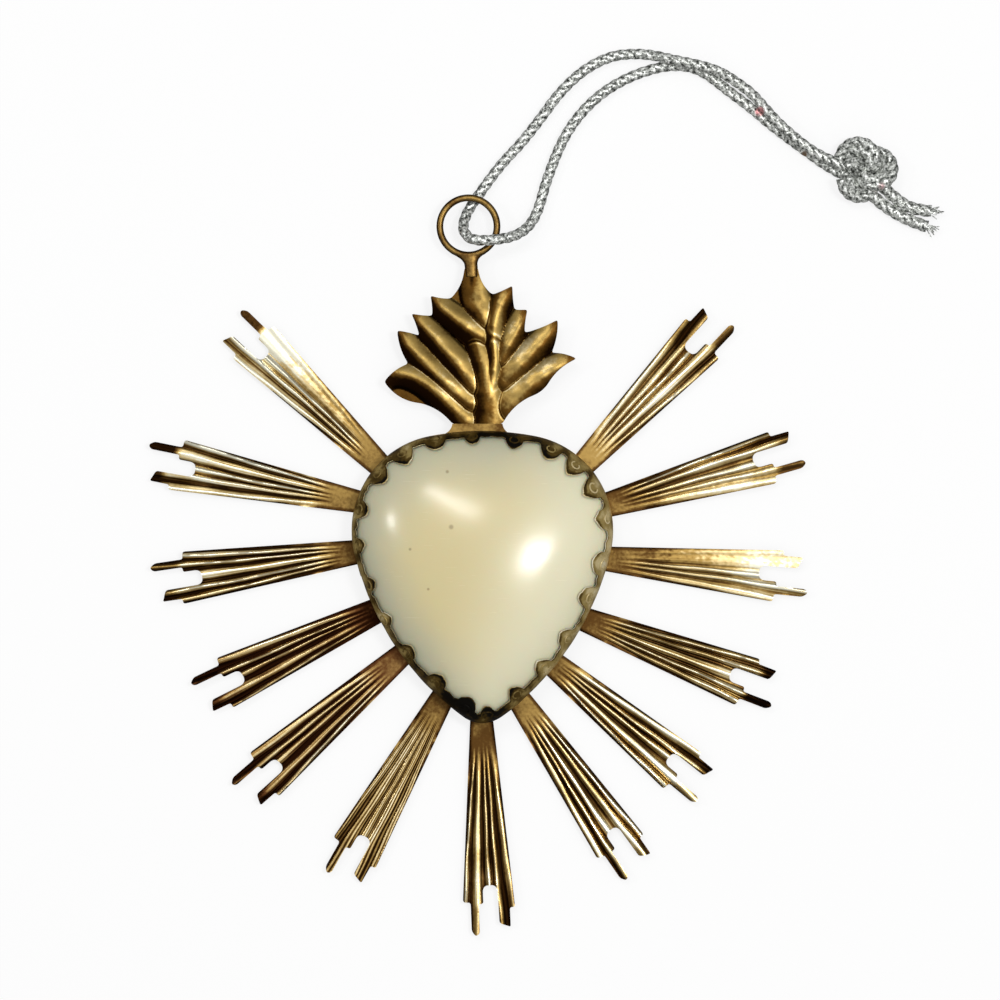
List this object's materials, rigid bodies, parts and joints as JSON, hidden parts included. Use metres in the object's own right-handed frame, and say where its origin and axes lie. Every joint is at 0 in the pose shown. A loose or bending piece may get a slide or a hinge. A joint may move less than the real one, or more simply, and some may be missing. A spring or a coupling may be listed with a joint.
{
  "type": "milagro charm",
  "caption": "Sunburst heart ornament: cream domed stone in a scalloped brass setting with fluted rays, a flame on top and a knotted cord loop in its ring.",
  "frame": {"origin": "centre of the heart on the rear face of the back plate", "axes": "+Z out of the front of the ornament, +Y from the heart's point to the hanging ring, +X to the viewer's right"},
  "size_m": [0.1174, 0.1331, 0.011],
  "materials": {
    "brass": "aged, bright ridges with dark patina in the hollows",
    "stone": "polished, cream, slightly translucent",
    "cord": "braided metallic silver thread"
  },
  "bodies": {
    "ornament": {"back_plate": "brass", "setting_base": "brass", "bezel": "brass", "flame_collar": "brass", "flame": "brass", "hanging_ring": "brass", "ray_01": "brass", "ray_02": "brass", "ray_03": "brass", "ray_04": "brass", "ray_05": "brass", "ray_06": "brass", "ray_07": "brass", "ray_08": "brass", "ray_09": "brass", "ray_10": "brass", "ray_11": "brass", "ray_12": "brass", "ray_13": "brass", "cabochon": "stone"},
    "cord": {"cord_loop": "cord", "cord_knot": "cord", "cord_tails": "cord"}
  },
  "joints": [
    {"name": "cord_swing", "type": "hinge", "parent": "ornament", "child": "cord", "pos_m": [-0.0021, 0.05234, 0.00258], "axis": [0, 0, 1], "range_deg": [-25, 140]}
  ]
}
